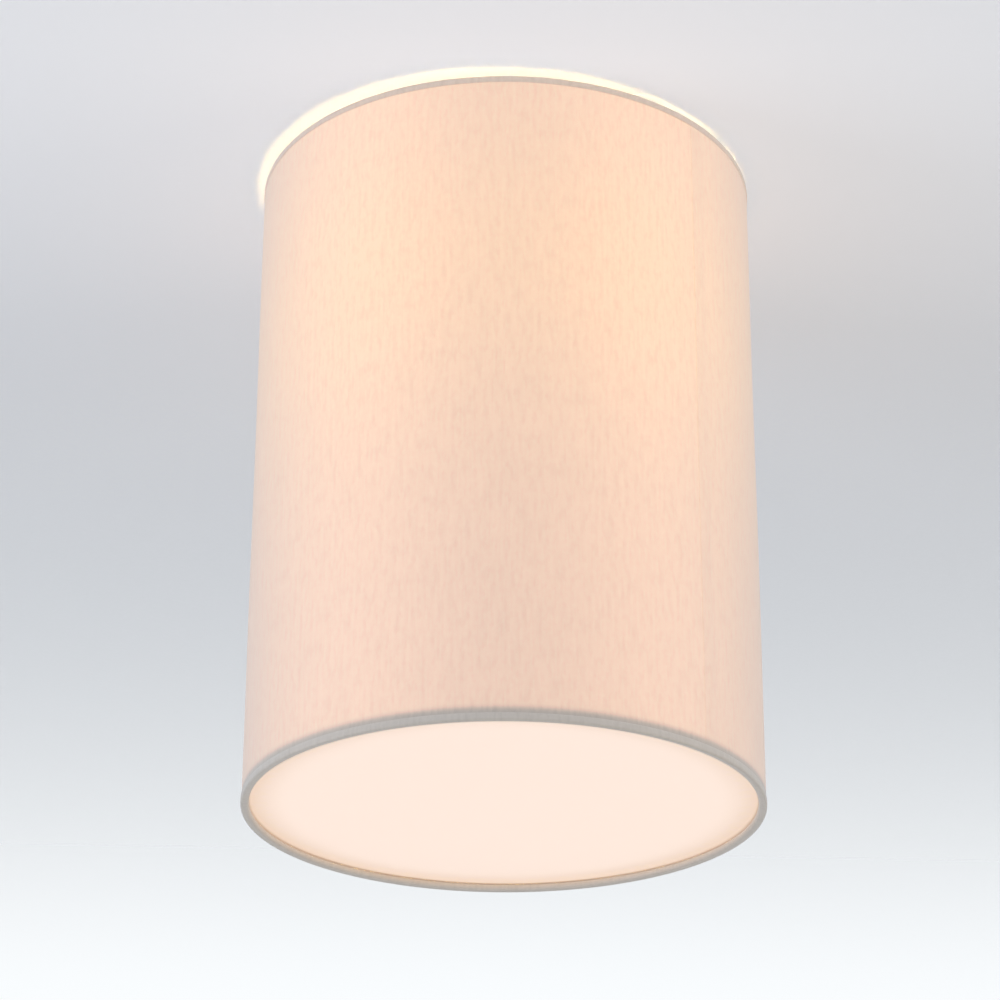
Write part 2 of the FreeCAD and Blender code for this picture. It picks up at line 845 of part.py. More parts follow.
def block_screw():
    return slotted_screw(
        block_screw_x, block_centre_y, -rest_gap, block_foot, block_screw_diameter, block_screw_head, 1.4
    )


def earth_screw():
    seat = -bracket_thickness - lug_thickness
    return slotted_screw(
        earth_screw_x, 0, -rest_gap, seat, earth_screw_diameter, earth_head_diameter, earth_head_height
    )


def earth_lug():
    """A ring tongue under the screw's head, with a tail that is crimped on the lead."""
    top = -bracket_thickness
    low = top - lug_thickness
    tongue = disc(lug_width / 2, low, top, earth_screw_x)
    tail = box(earth_screw_x - lead_diameter, earth_screw_x + lead_diameter, 0, lug_tail, low, top)
    lug = tongue.fuse(tail).removeSplitter()
    lug = lug.cut(disc(earth_screw_diameter / 2 + hole_fit, low, top, earth_screw_x))
    start = Vector(earth_screw_x, lug_tail / 2, low - lead_diameter / 2)
    crimp = rod(start, start + Vector(0, lug_tail / 2, 0), lead_diameter + 2 * crimp_wall)
    lug = lug.fuse(crimp).removeSplitter()
    return lug.cut(rod(start, start + Vector(0, lug_tail, 0), lead_diameter + 2 * thread_fit))


def earth_lead():
    """From the crimped lug round to the first pole of the terminal block."""
    height = -bracket_thickness - lug_thickness - lead_diameter / 2
    pole_x = pole_places()[0]
    pole_y = block_centre_y - block_width / 2
    points = [
        (earth_screw_x, lug_tail / 2, height),
        (earth_screw_x, lug_tail + 3.0, height),
        (pole_x - 1.5, pole_y - 6.0, pole_axis + 1.0),
        (pole_x, pole_y + 3.0, pole_axis),
    ]
    return bent_tube("earth_lead", points, lead_diameter)


def holder_lead(name, pole_x, side):
    """From a pole of the block, down through the nipple, to a terminal of the lamp holder."""
    pole_y = block_centre_y - block_width / 2
    offset = side * 1.4
    post = side * contact_post_radius
    points = [
        (pole_x, pole_y + 3.0, pole_axis),
        (pole_x, pole_y - 6.0, pole_axis),
        (offset, 0, pole_axis + 1.0),
        (offset, 0, nipple_foot - 1.0),
        (post, 0, nipple_foot - 5.0),
        (post, 0, insert_top - terminal_height / 2 + 0.1),
    ]
    return bent_tube(name, points, lead_diameter)


def main():
    os.makedirs("parts", exist_ok=True)
    poles = pole_places()
    pieces = {
        "ceiling_bracket": ceiling_bracket(),
        "bracket_ears": bracket_ears(),
        "canopy_pan": canopy_pan(),
        "canopy_screws": canopy_screws(),
        "threaded_nipple": threaded_nipple(),
        "nipple_washer": nipple_washer(),
        "nipple_nut": nipple_nut(),
        "holder_cap": holder_cap(),
        "holder_shell": holder_shell(),
        "holder_insert": holder_insert(),
        "holder_terminals": holder_terminals(),
        "centre_contact": centre_contact(),
        "side_contact": side_contact(),
        "thread_sleeve": thread_sleeve(),
        "upper_shade_ring": shade_ring(upper_ring_foot, upper_ring_height),
        "lower_shade_ring": shade_ring(lower_ring_foot, lower_ring_height),
        "spider_hub": spider_hub(),
        "spider_arms": spider_arms(),
        "top_ring_wire": top_ring_wire(),
        "bottom_ring_wire": bottom_ring_wire(),
        "fabric_skin": fabric_skin(),
        "film_liner": film_liner(),
        "seam_tape": seam_tape(),
        "top_hem": top_hem(),
        "bottom_hem": bottom_hem(),
        "diffuser_disc": diffuser_disc(),
        "bulb_button": bulb_button(),
        "bulb_insulator": bulb_insulator(),
        "bulb_cap_shell": bulb_cap_shell(),
        "bulb_globe": bulb_globe(),
        "bulb_stem": bulb_stem(),
        "led_filaments": led_filaments(),
        "filament_supports": filament_supports(),
        "terminal_block": terminal_block(),
        "terminal_tubes": terminal_tubes(),
        "terminal_screws": terminal_screws(),
        "block_screw": block_screw(),
        "earth_screw": earth_screw(),
        "earth_lug": earth_lug(),
        "earth_lead": earth_lead(),
        "live_lead": holder_lead("live_lead", poles[2], 1),
        "neutral_lead": holder_lead("neutral_lead", poles[1], -1),
    }
    for name, shape in pieces.items():
        save(name, shape)


main()
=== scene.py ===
import math

import bpy
import numpy as np
from mathutils import Matrix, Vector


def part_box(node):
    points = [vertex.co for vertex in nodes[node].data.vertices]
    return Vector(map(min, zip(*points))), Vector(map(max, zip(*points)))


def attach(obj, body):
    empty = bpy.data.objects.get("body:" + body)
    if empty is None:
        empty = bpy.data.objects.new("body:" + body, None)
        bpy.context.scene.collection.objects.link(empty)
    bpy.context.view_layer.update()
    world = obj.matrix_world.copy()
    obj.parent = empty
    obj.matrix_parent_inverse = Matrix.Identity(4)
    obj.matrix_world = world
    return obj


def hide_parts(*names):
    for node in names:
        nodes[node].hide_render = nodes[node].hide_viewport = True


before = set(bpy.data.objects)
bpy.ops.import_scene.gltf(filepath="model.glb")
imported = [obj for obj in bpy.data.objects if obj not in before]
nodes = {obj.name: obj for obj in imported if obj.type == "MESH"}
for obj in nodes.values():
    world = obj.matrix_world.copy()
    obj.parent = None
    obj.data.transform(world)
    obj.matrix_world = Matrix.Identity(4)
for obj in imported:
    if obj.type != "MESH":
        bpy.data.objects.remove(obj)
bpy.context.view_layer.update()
mm = 0.001
print("frame loaded with", len(nodes), "nodes")

# the drum's own sizes, read from the frame's nodes
footLow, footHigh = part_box("bottom_hem")
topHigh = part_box("top_hem")[1]
wireLow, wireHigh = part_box("bottom_ring_wire")
globeLow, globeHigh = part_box("bulb_globe")
filamentLow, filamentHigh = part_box("led_filaments")
shade = {
    "foot": footLow[2],
    "top": topHigh[2],
    "hemOuter": -footLow[1],
    "hemCloth": 0.5 * mm,
    "cloth": 0.5 * mm,
    "film": 0.4 * mm,
    "clear": 0.02 * mm,  # keeps faces that touch from lying in one another
    "wire": wireHigh[2] - wireLow[2],
    "ringRadius": wireHigh[0] - (wireHigh[2] - wireLow[2]) / 2,
    "wireHeight": (wireHigh[2] + wireLow[2]) / 2 - footLow[2],
    "hemHeight": footHigh[2] - footLow[2],
}
shade["radius"] = shade["hemOuter"] - shade["hemCloth"]
lampHeight = (filamentLow[2] + filamentHigh[2]) / 2


def linearColour(hexText):
    # sRGB hex text as a linear colour with full alpha
    parts = [int(hexText[i : i + 2], 16) / 255 for i in (0, 2, 4)]
    return [c / 12.92 if c <= 0.04045 else ((c + 0.055) / 1.055) ** 2.4 for c in parts] + [1.0]


def add(tree, kind, inputs=None, out=0, **settings):
    # one shader node with its settings and links; gives one of its outputs
    node = tree.nodes.new(kind)
    for name, value in settings.items():
        setattr(node, name, value)
    for key, value in (inputs or {}).items():
        if isinstance(value, bpy.types.NodeSocket):
            tree.links.new(value, node.inputs[key])
        else:
            node.inputs[key].default_value = value
    return node.outputs[out]


twoColours = {"out": 2, "data_type": "RGBA"}  # settings of a mix of two colours
smooth = {"interpolation_type": "SMOOTHSTEP"}


def newSurface(name, values):
    # a material of one Principled shader, with its constant values on the shader's own sockets
    material = bpy.data.materials.new(name)
    material.use_nodes = True
    shader = material.node_tree.nodes["Principled BSDF"]
    for socket, value in values.items():
        shader.inputs[socket].default_value = value
    return material, material.node_tree, shader


def polar(radius, azimuth, height):
    # azimuth 0 faces -Y and grows towards +X
    return np.stack([radius * np.sin(azimuth), -radius * np.cos(azimuth), height], -1)


def sines(terms, azimuth, height=0.0):
    # sum of share x sine of (turns x azimuth + climb x height + start), one for each term
    return sum(
        share * np.sin(turns * azimuth + climb * height + start)
        for share, turns, climb, start in terms
    )


def closedPiece(name, points, around, along):
    # a surface closed both ways: points[i, j] with i round the profile and j round the drum;
    # its UV is the length round the drum and the length along the profile, in metres
    rows, columns = points.shape[:2]
    i, j = np.meshgrid(np.arange(rows), np.arange(columns), indexing="ij")
    iNext, jNext = (i + 1) % rows, (j + 1) % columns
    corners = [(i, j), (i, jNext), (iNext, jNext), (iNext, j)]
    quads = np.stack([a * columns + b for a, b in corners], -1).reshape(-1, 4)
    mesh = bpy.data.meshes.new(name)
    mesh.vertices.add(rows * columns)
    mesh.vertices.foreach_set("co", points.reshape(-1).astype(np.float32))
    mesh.loops.add(quads.size)
    mesh.loops.foreach_set("vertex_index", quads.reshape(-1).astype(np.int32))
    mesh.polygons.add(len(quads))
    mesh.polygons.foreach_set("loop_start", np.arange(0, quads.size, 4, dtype=np.int32))
    mesh.polygons.foreach_set("use_smooth", np.ones(len(quads), dtype=bool))
    across = np.stack([around[j], around[j + 1], around[j + 1], around[j]], -1)
    down = np.stack([along[i], along[i], along[i + 1], along[i + 1]], -1)
    layer = mesh.uv_layers.new(name="cloth")
    layer.data.foreach_set("uv", np.stack([across, down], -1).reshape(-1).astype(np.float32))
    mesh.update(calc_edges=True)
    mesh.validate()
    piece = bpy.data.objects.new(name, mesh)
    bpy.context.scene.collection.objects.link(piece)
    return piece


def dress(piece, material):
    piece.data.materials.clear()
    piece.data.materials.append(material)


# ---- the cloth on the drum
cloth = {
    "colour": "d2cbc2",
    "thread": "c6c0b8",
    "seam": 47.0,  # degrees, where the cut end of the cloth shows
    "lap": 12 * mm,
    "lapRise": 0.25 * mm,  # the cut end is pressed and glued, so it stands up less than a layer
    "lapStep": 0.05 * mm,  # the width that the cut end rises over
    "lapSink": 6 * mm,  # and the width that the lap sinks away over
    "columns": 360,
    "rows": 90,
    "wave": 0.12 * mm,
    # share, turns round the drum, radians per metre of height, start
    "waves": ((1.0, 7, 9, 0.0), (0.7, 13, -21, 1.3), (0.5, 23, 34, 0.4)),
    "hemBlend": 1.5 * mm,  # beside a hem the waves die out over this height
    # sizes across and along, where the noise is cut, its seed, and its share of the thickness;
    # single threads lie about 0.3 mm apart, too fine to show, so warp and weft are drawn coarser
    "threads": (
        ((3.0 * mm, 9 * mm), (0.45, 0.75), 0.0, 0.5),  # slubs
        ((2.2 * mm, 30 * mm), (0.30, 0.70), 3.1, 0.3),  # warp
        ((2.6 * mm, 3.0 * mm), (0.30, 0.70), 7.7, 0.2),  # weft
    ),
    "bump": 0.10 * mm,
    "sheen": 0.85,
    "hem": "e1dbd3",  # folded double, the cloth lets less light through and looks paler
    "hemThread": "d5cfc7",  # and its threads stand out less
}
glow = {
    "near": "ffc28a",  # light through the cloth beside the lamp
    "far": "ffc39e",  # and far below it
    "floor": 0.52,
    "gain": 0.15,
    "shadowLow": 5.0 * mm,  # above the foot; up to here the disc and the hem shade the cloth
    "shadowHigh": 10.2 * mm,  # and from here on its light is whole
    "shaded": 0.12,  # light that is left in the shade
    "thin": 1.06,  # light through thin threads
    "thick": 0.90,  # and through thick ones
    "lap": 0.94,  # less light through two layers
    "lapEdge": (-0.2 * mm, 0.3 * mm),  # from the cut end, where the second layer starts to show
    "lapFade": 3 * mm,  # the inner layer's end shows through softly
    "lobes": 5,  # brighter strips round the drum, as the lamp doesn't shine evenly
    "swing": 0.08,
    "hem": 0.36,  # what comes through the hems, times the nearness
}
seamPlace = math.radians(cloth["seam"]) * shade["radius"]


def drumColumns():
    # even azimuths, with extra ones on both sides of the cloth's cut end, in degrees from it
    even = np.linspace(0, 360, cloth["columns"], endpoint=False)
    edge = cloth["seam"] + np.array([-0.10, -0.02, 0.02, 0.10, 0.30])
    return np.radians(np.unique(np.concatenate([even, edge])))


def drumCloth():
    # radius = shade radius + a faint wave of a few sines + the lap's rise, which starts at the cut
    # end and sinks away before the lap ends; neither reaches the hems
    azimuth = drumColumns()
    low = shade["foot"] + shade["hemCloth"]
    high = shade["top"] - shade["hemCloth"]
    outerRows = np.linspace(low, high, cloth["rows"])
    innerRows = np.linspace(high, low, cloth["rows"] // 2)
    heights = np.concatenate([outerRows, innerRows])[:, None]
    isOuter = np.arange(len(heights))[:, None] < len(outerRows)
    turn = azimuth[None, :]
    rise = cloth["wave"] * sines(cloth["waves"], turn, heights)
    fromEdge = turn * shade["radius"] - seamPlace
    inLap = np.clip(fromEdge / cloth["lapStep"], 0, 1)
    inLap = inLap * np.clip((cloth["lap"] - fromEdge) / cloth["lapSink"], 0, 1)
    fromHem = np.minimum(shade["top"] - heights, heights - shade["foot"]) - shade["hemHeight"]
    openCloth = np.clip(fromHem / cloth["hemBlend"], 0, 1)
    outside = shade["radius"] - shade["clear"] + openCloth * (rise + cloth["lapRise"] * inLap)
    radius = np.where(isOuter, outside, shade["radius"] - shade["cloth"])
    points = polar(radius, turn + 0 * heights, heights + 0 * turn)
    around = np.append(azimuth, azimuth[0] + 2 * math.pi) * shade["radius"]
    return closedPiece("shadeCloth", points, around, np.append(heights, heights[0]))


hemShape = {
    "taper": 1.6 * mm,  # the outer leg thins over this height
    "edge": 0.12 * mm,  # to this thickness
    "taperPower": 0.6,  # and the lower this is, the rounder
    "corner": 1.1 * mm,
    "legRows": 12,
    "bendRows": 8,
    "curlRows": 22,
    "pucker": 0.015 * mm,
    "waver": 0.12 * mm,
    # share, turns round the drum, radians per metre of height, start
    "puckers": ((1.0, 61, 0, 0.0), (0.6, 97, 0, 1.0)),
    "wavers": ((1.0, 5, 0, 1.0), (0.8, 11, 0, 0.0), (0.6, 29, 0, 2.0)),
    "waverReach": 2.4,  # the sum of their shares
    "legInside": 0.1 * mm,  # the outer leg counts from this far inside the shade's radius
    "legBlend": 0.3 * mm,  # and fully this much farther out
    "stillBelow": 2 * mm,  # from the drum's edge; the outer leg keeps its height up to here
    "stillOver": 2.5 * mm,  # and wavers fully this much farther on
}


def hemOutline():
    # the strip's outer face and inner face as one loop, heights above the drum's edge: outside down
    # the drum, round its edge, round the wire and back to the film; the outer leg thins to its edge
    half = shade["hemCloth"] / 2
    roll = shade["wire"] / 2 + half
    outer = shade["hemOuter"] - half
    corner = hemShape["corner"]
    down = np.linspace([outer, shade["hemHeight"]], [outer, half + corner], hemShape["legRows"])
    angle = np.linspace(0, -math.pi / 2, hemShape["bendRows"])[1:]
    bend = [outer - corner, half + corner] + corner * np.stack([np.cos(angle), np.sin(angle)], -1)
    angle = np.linspace(-math.pi / 2, -1.5 * math.pi, hemShape["curlRows"])
    wire = np.array([shade["ringRadius"], shade["wireHeight"]])
    curl = wire + roll * np.stack([np.cos(angle), np.sin(angle)], -1)
    filmInner = shade["radius"] - shade["cloth"] - shade["film"]
    last = [filmInner - shade["clear"], shade["wireHeight"] + roll]
    middle = np.concatenate([down, bend, curl, [last]])
    step = np.gradient(middle, axis=0)
    step /= np.linalg.norm(step, axis=1, keepdims=True)
    normal = np.stack([-step[:, 1], step[:, 0]], -1)
    outward = np.full(len(middle), half)
    fromEdge = np.clip((shade["hemHeight"] - down[:, 1]) / hemShape["taper"], 0, 1)
    full = fromEdge ** hemShape["taperPower"]
    outward[: len(down)] = -half + hemShape["edge"] + (2 * half - hemShape["edge"]) * full
    return np.concatenate([middle + normal * outward[:, None], (middle - normal * half)[::-1]])


def hem(name, upward):
    # the loop carried round the drum; the outer leg's height wavers and its face puckers a little
    loop = hemOutline()
    azimuth = np.radians(np.linspace(0, 360, cloth["columns"], endpoint=False))
    waver = sines(hemShape["wavers"], azimuth)
    pucker = sines(hemShape["puckers"], azimuth)
    onCloth = loop[:, :1] - shade["radius"] + hemShape["legInside"]
    outerLeg = np.clip(onCloth / hemShape["legBlend"], 0, 1)
    lift = np.clip((loop[:, 1:] - hemShape["stillBelow"]) / hemShape["stillOver"], 0, 1) * outerLeg
    radius = loop[:, :1] + hemShape["pucker"] * outerLeg * pucker
    height = loop[:, 1:] - hemShape["waver"] * lift * (1 + waver / hemShape["waverReach"])
    place = shade["foot"] + height if upward else shade["top"] - height
    points = polar(radius, azimuth[None, :] + 0 * radius, place)
    if upward:
        points = points[::-1]
    around = np.append(azimuth, 2 * math.pi) * shade["radius"]
    length = np.concatenate([[0], np.cumsum(np.linalg.norm(np.diff(loop, axis=0), axis=1))])
    return closedPiece(name, points, around, np.append(length, length[-1] + shade["hemCloth"]))


def streaks(tree, source, size, cut, seed):
    # noise drawn out to size = (across, along) metres on the cloth's UV, cut to 0..1
    place = add(
        tree,
        "ShaderNodeMapping",
        {"Vector": source, "Location": (seed, 0.7 * seed, 0), "Scale": (1 / size[0], 1 / size[1], 1)},
    )
    noise = add(
        tree,
        "ShaderNodeTexNoise",
        {"Vector": place, "Scale": 1.0, "Detail": 2.0, "Roughness": 0.5},
        noise_dimensions="2D",
    )
    return add(tree, "ShaderNodeMapRange", {"Value": noise, "From Min": cut[0], "From Max": cut[1]})


def weave(tree, uv):
    # thread thickness: sum of share x noise drawn out along its thread, for slubs, warp and weft
    thick = 0.0
    for size, cut, seed, share in cloth["threads"]:
        part = streaks(tree, uv, size, cut, seed)
        thick = add(tree, "ShaderNodeMath", {0: part, 1: share, 2: thick}, operation="MULTIPLY_ADD")
    return thick


def lampFall(tree, height):
    # nearness to the lamp: (1 + (height from the lamp / radius) squared) to the power -1.5
    away = add(tree, "ShaderNodeMath", {0: height, 1: lampHeight}, operation="SUBTRACT")
    away = add(tree, "ShaderNodeMath", {0: away, 1: shade["radius"]}, operation="DIVIDE")
    spread = add(tree, "ShaderNodeMath", {0: away, 1: away, 2: 1.0}, operation="MULTIPLY_ADD")
    return add(tree, "ShaderNodeMath", {0: spread, 1: -1.5}, operation="POWER")


def lightThroughHem(tree):
    # light = near colour x hem's share x nearness
    place = add(tree, "ShaderNodeTexCoord", out=3)
    near = lampFall(tree, add(tree, "ShaderNodeSeparateXYZ", {0: place}, out=2))
    level = add(tree, "ShaderNodeMath", {0: near, 1: glow["hem"]}, operation="MULTIPLY")
    light = {0: linearColour(glow["near"])[:3], 3: level}
    return add(tree, "ShaderNodeVectorMath", light, operation="SCALE")


def lightThrough(tree, uv, thick):
    # light = colour by nearness x (floor + gain x nearness) x the disc's shadow x thread x lap
    # x (1 - swing x cosine of lobes x azimuth)
    place = add(tree, "ShaderNodeTexCoord", out=3)
    height = add(tree, "ShaderNodeSeparateXYZ", {0: place}, out=2)
    near = lampFall(tree, height)
    level = add(
        tree, "ShaderNodeMath", {0: near, 1: glow["gain"], 2: glow["floor"]}, operation="MULTIPLY_ADD"
    )
    span = {"From Min": shade["foot"] + glow["shadowLow"], "From Max": shade["foot"] + glow["shadowHigh"]}
    span.update({"Value": height, "To Min": glow["shaded"]})
    shadow = add(tree, "ShaderNodeMapRange", span, **smooth)
    span = {"Value": thick, "To Min": glow["thin"], "To Max": glow["thick"]}
    thread = add(tree, "ShaderNodeMapRange", span)
    along = add(tree, "ShaderNodeSeparateXYZ", {0: uv})
    edge = glow["lapEdge"]
    span = {"Value": along, "From Min": seamPlace + edge[0], "From Max": seamPlace + edge[1]}
    start = add(tree, "ShaderNodeMapRange", span)
    lapEnd = seamPlace + cloth["lap"]
    span = {"From Min": lapEnd - glow["lapFade"], "From Max": lapEnd, "To Min": 1.0, "To Max": 0.0}
    end = add(tree, "ShaderNodeMapRange", {"Value": along, **span})
    inLap = add(tree, "ShaderNodeMath", {0: start, 1: end}, operation="MULTIPLY")
    lap = add(tree, "ShaderNodeMapRange", {"Value": inLap, "To Min": 1.0, "To Max": glow["lap"]})
    turns = {0: along, 1: glow["lobes"] / shade["radius"]}
    turned = add(tree, "ShaderNodeMath", turns, operation="MULTIPLY")
    wave = add(tree, "ShaderNodeMath", {0: turned}, operation="COSINE")
    uneven = add(tree, "ShaderNodeMath", {0: wave, 1: -glow["swing"], 2: 1.0}, operation="MULTIPLY_ADD")
    for part in (shadow, thread, lap, uneven):
        level = add(tree, "ShaderNodeMath", {0: level, 1: part}, operation="MULTIPLY")
    ends = {0: near, 6: linearColour(glow["far"]), 7: linearColour(glow["near"])}
    colour = add(tree, "ShaderNodeMix", ends, **twoColours)
    return add(tree, "ShaderNodeVectorMath", {0: colour, 3: level}, operation="SCALE")


def slubWeave(name, pale, thread, single):
    # slub-weave polyester: matt, pale, a little darker on the thick threads, with a soft sheen;
    # lit from behind as one layer, or as the folded hem
    material, tree, shader = newSurface(
        name,
        {"Roughness": 0.5, "IOR": 1.57, "Sheen Weight": cloth["sheen"], "Sheen Roughness": 0.6},
    )
    uv = add(tree, "ShaderNodeUVMap", uv_map="cloth")
    thick = weave(tree, uv)
    tones = {0: thick, 6: linearColour(pale), 7: linearColour(thread)}
    colour = add(tree, "ShaderNodeMix", tones, **twoColours)
    tree.links.new(colour, shader.inputs["Base Color"])
    bump = add(tree, "ShaderNodeBump", {"Height": thick, "Distance": cloth["bump"], "Strength": 0.8})
    tree.links.new(bump, shader.inputs["Normal"])
    light = lightThrough(tree, uv, thick) if single else lightThroughHem(tree)
    tree.links.new(light, shader.inputs["Emission Color"])
    shader.inputs["Emission Strength"].default_value = 1.0
    return material


shadeCloth = drumCloth()
dress(shadeCloth, slubWeave("slubWeaveLit", cloth["colour"], cloth["thread"], True))
hemCloth = slubWeave("slubWeaveHem", cloth["hem"], cloth["hemThread"], False)
bottomHem = hem("bottomHemCloth", True)
topHem = hem("topHemCloth", False)
for piece in (bottomHem, topHem):
    dress(piece, hemCloth)
for piece, node in ((shadeCloth, "fabric_skin"), (bottomHem, "bottom_hem"), (topHem, "top_hem")):
    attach(piece, "shade_body")
    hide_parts(node)
print("cloth and hems made")


# ---- finishes of the hard pieces
def grain(tree, size):
    # noise on the piece's own coordinates, with its grain size in metres, cut to 0..1
    place = add(tree, "ShaderNodeTexCoord", out=3)
    noise = add(tree, "ShaderNodeTexNoise", {"Vector": place, "Scale": 1 / size, "Detail": 2.0})
    return add(tree, "ShaderNodeMapRange", {"Value": noise, "From Min": 0.3, "From Max": 0.7})


def finish(name, first, second, size, values, rough, depth):
    # two tones mixed by the grain, a range of roughness along it, and dents of that depth
    material, tree, shader = newSurface(name, values)
    pattern = grain(tree, size)
    tones = {0: pattern, 6: linearColour(first), 7: linearColour(second)}
    colour = add(tree, "ShaderNodeMix", tones, **twoColours)
    tree.links.new(colour, shader.inputs["Base Color"])
    rubbed = add(tree, "ShaderNodeMapRange", {"Value": pattern, "To Min": rough[0], "To Max": rough[1]})
    tree.links.new(rubbed, shader.inputs["Roughness"])
    bump = add(tree, "ShaderNodeBump", {"Height": pattern, "Distance": depth, "Strength": 0.5})
    tree.links.new(bump, shader.inputs["Normal"])
    return material


metal = {"Metallic": 1.0}
# both tones, the grain's size, values of the shader, range of roughness, depth of the dents
finishes = {
    # bright zinc on pressed steel: bluish grey, with cloudy crystals a few millimetres wide
    "zincPlatedSteel": ("b9bcc0", "9fa3a8", 3 * mm, metal, (0.28, 0.46), 0.02 * mm),
    # white powder coat: satin, with an orange-peel surface about a millimetre wide
    "whitePowderCoat": ("efede8", "e9e6e0", 0.9 * mm, {"IOR": 1.5}, (0.38, 0.50), 0.03 * mm),
    # moulded glass-filled polyester: matt white with a fine spark-eroded grain
    "whiteThermoplastic": ("ebe8e0", "e2ded4", 0.5 * mm, {"IOR": 1.54}, (0.45, 0.62), 0.02 * mm),
    # unglazed steatite: off-white, dry, faintly speckled
    "unglazedPorcelain": ("eeeadf", "ddd7c8", 0.8 * mm, {"IOR": 1.6}, (0.6, 0.8), 0.02 * mm),
    # bare brass: yellow, with slight tarnish in patches
    "bareBrass": ("d9b765", "b8913f", 1.5 * mm, metal, (0.22, 0.42), 0.01 * mm),
    # nickel plating on brass: warm grey, bright, with faint smears
    "nickelPlate": ("c9c5bc", "b1ada4", 2 * mm, metal, (0.16, 0.34), 0.01 * mm),
    # tinned copper: softer and greyer than nickel
    "tinnedCopper": ("c2c1bb", "a3a29c", 1 * mm, metal, (0.3, 0.5), 0.02 * mm),
    # solder on the lamp's contact: grey, uneven
    "tinSolder": ("b9b8b2", "8f8e8a", 0.8 * mm, metal, (0.3, 0.5), 0.05 * mm),
    # white styrene film behind the cloth: smooth, half matt
    "whiteShadeFilm": ("f1eee8", "ebe7df", 6 * mm, {"IOR": 1.58}, (0.30, 0.42), 0.01 * mm),
    # natural nylon: milky, half matt
    "naturalNylon": ("ecebe3", "e0ded3", 1.2 * mm, {"IOR": 1.53}, (0.4, 0.55), 0.02 * mm),
    # the lamp cap's black glass insulator: glossy
    "blackGlass": ("16161a", "22222a", 1 * mm, {"IOR": 1.52}, (0.08, 0.2), 0.01 * mm),
    # soft PVC round the leads
    "brownLead": ("5d3a22", "4c2e1a", 1 * mm, {"IOR": 1.53}, (0.35, 0.5), 0.01 * mm),
    "blueLead": ("2b5fa8", "234f8e", 1 * mm, {"IOR": 1.53}, (0.35, 0.5), 0.01 * mm),
}


def clearGlass(name):
    # the lamp's stem: clear soda-lime glass, a little uneven from drawing
    values = {"Base Color": linearColour("f4f7f5"), "Transmission Weight": 1.0, "IOR": 1.52}
    material, tree, shader = newSurface(name, values)
    rubbed = add(tree, "ShaderNodeMapRange", {"Value": grain(tree, 4 * mm), "To Max": 0.05})
    tree.links.new(rubbed, shader.inputs["Roughness"])
    return material


def phosphorCoat(name):
    # yellow phosphor coat on the filaments, lit
    material, tree, shader = newSurface(name, {"Roughness": 0.6, "Emission Strength": 2.0})
    tones = {0: grain(tree, 0.6 * mm), 6: linearColour("f6cf5a"), 7: linearColour("e9b53a")}
    colour = add(tree, "ShaderNodeMix", tones, **twoColours)
    for socket in ("Base Color", "Emission Color"):
        tree.links.new(colour, shader.inputs[socket])
    return material


bulb = {
    "colour": "f4efe6",
    "light": "ffe3c2",
    "strength": 3.0,
    "bright": 18 * mm,  # from the filaments' middle; up to here the glass is fully lit
    "dim": 42 * mm,  # and from here on it has the least light
    "least": 0.35,
}


def opalLampGlass(name):
    # opal-coated lamp glass, lit: brightest round its middle, beside the filaments
    values = {
        "Base Color": linearColour(bulb["colour"]),
        "Roughness": 0.25,
        "IOR": 1.52,
        "Emission Strength": bulb["strength"],
    }
    material, tree, shader = newSurface(name, values)
    place = add(tree, "ShaderNodeTexCoord", out=3)
    height = add(tree, "ShaderNodeSeparateXYZ", {0: place}, out=2)
    away = add(tree, "ShaderNodeMath", {0: height, 1: lampHeight}, operation="SUBTRACT")
    away = add(tree, "ShaderNodeMath", {0: away}, operation="ABSOLUTE")
    span = {"From Min": bulb["bright"], "From Max": bulb["dim"], "To Min": 1.0, "To Max": bulb["least"]}
    level = add(tree, "ShaderNodeMapRange", {"Value": away, **span}, **smooth)
    light = {0: linearColour(bulb["light"])[:3], 3: level}
    glowing = add(tree, "ShaderNodeVectorMath", light, operation="SCALE")
    tree.links.new(glowing, shader.inputs["Emission Color"])
    drawn = {"Height": grain(tree, 8 * mm), "Distance": 0.05 * mm, "Strength": 0.2}
    tree.links.new(add(tree, "ShaderNodeBump", drawn), shader.inputs["Normal"])
    return material


disc = {
    "colour": "e3ded6",
    "cloud": "ddd7ce",  # second tone, in faint clouds
    "middle": "ffdfcd",  # light through the disc's middle
    "edge": "ecc6aa",  # and near its edge, which is more of the drum's warm glow
    "strength": 0.62,
    "edgeWidth": 22 * mm,
    "cover": (-0.8 * mm, 0.4 * mm),  # from the hem's inner edge, where a painted shadow of the hem starts to darken the disc's light
    "covered": 0.45,  # light that is left in the painted shadow of the hem
    "grain": 5 * mm,
}


